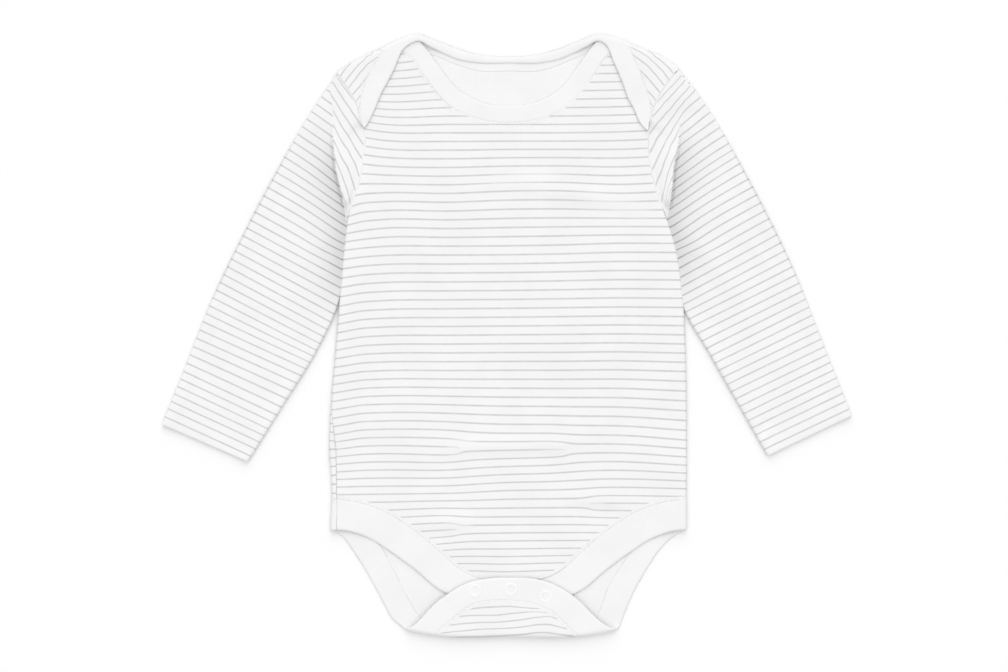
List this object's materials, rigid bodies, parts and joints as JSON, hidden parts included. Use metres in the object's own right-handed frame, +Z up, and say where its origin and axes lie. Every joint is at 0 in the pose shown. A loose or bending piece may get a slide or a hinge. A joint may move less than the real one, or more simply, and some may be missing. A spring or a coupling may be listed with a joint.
{
  "type": "baby bodysuit",
  "caption": "Long-sleeved baby bodysuit in striped knit, laid flat, with lapped shoulders, bound neck and leg edges, and a crotch flap that closes with snaps.",
  "frame": {"origin": "on the surface it lies on, under the middle of the garment's bounding box", "axes": "+X to the right as the front is seen, across both cuffs, +Y towards the neck, +Z up through the front"},
  "size_m": [0.4726, 0.4132, 0.0072],
  "materials": {
    "striped_knit": "soft cotton knit, white with thin light-grey stripes",
    "white_rib": "folded white rib binding",
    "snap_enamel": "white enamel, satin"
  },
  "bodies": {
    "root": {"back_panel": "striped_knit", "front_panel": "striped_knit", "sleeve_left": "striped_knit", "sleeve_right": "striped_knit", "neck_binding_front": "white_rib", "neck_binding_back": "white_rib", "leg_binding_front": "white_rib", "leg_binding_back": "white_rib", "snap_ring_left": "snap_enamel", "snap_ring_middle": "snap_enamel", "snap_ring_right": "snap_enamel", "snap_press_left": "snap_enamel", "snap_press_middle": "snap_enamel", "snap_press_right": "snap_enamel"}
  },
  "joints": []
}
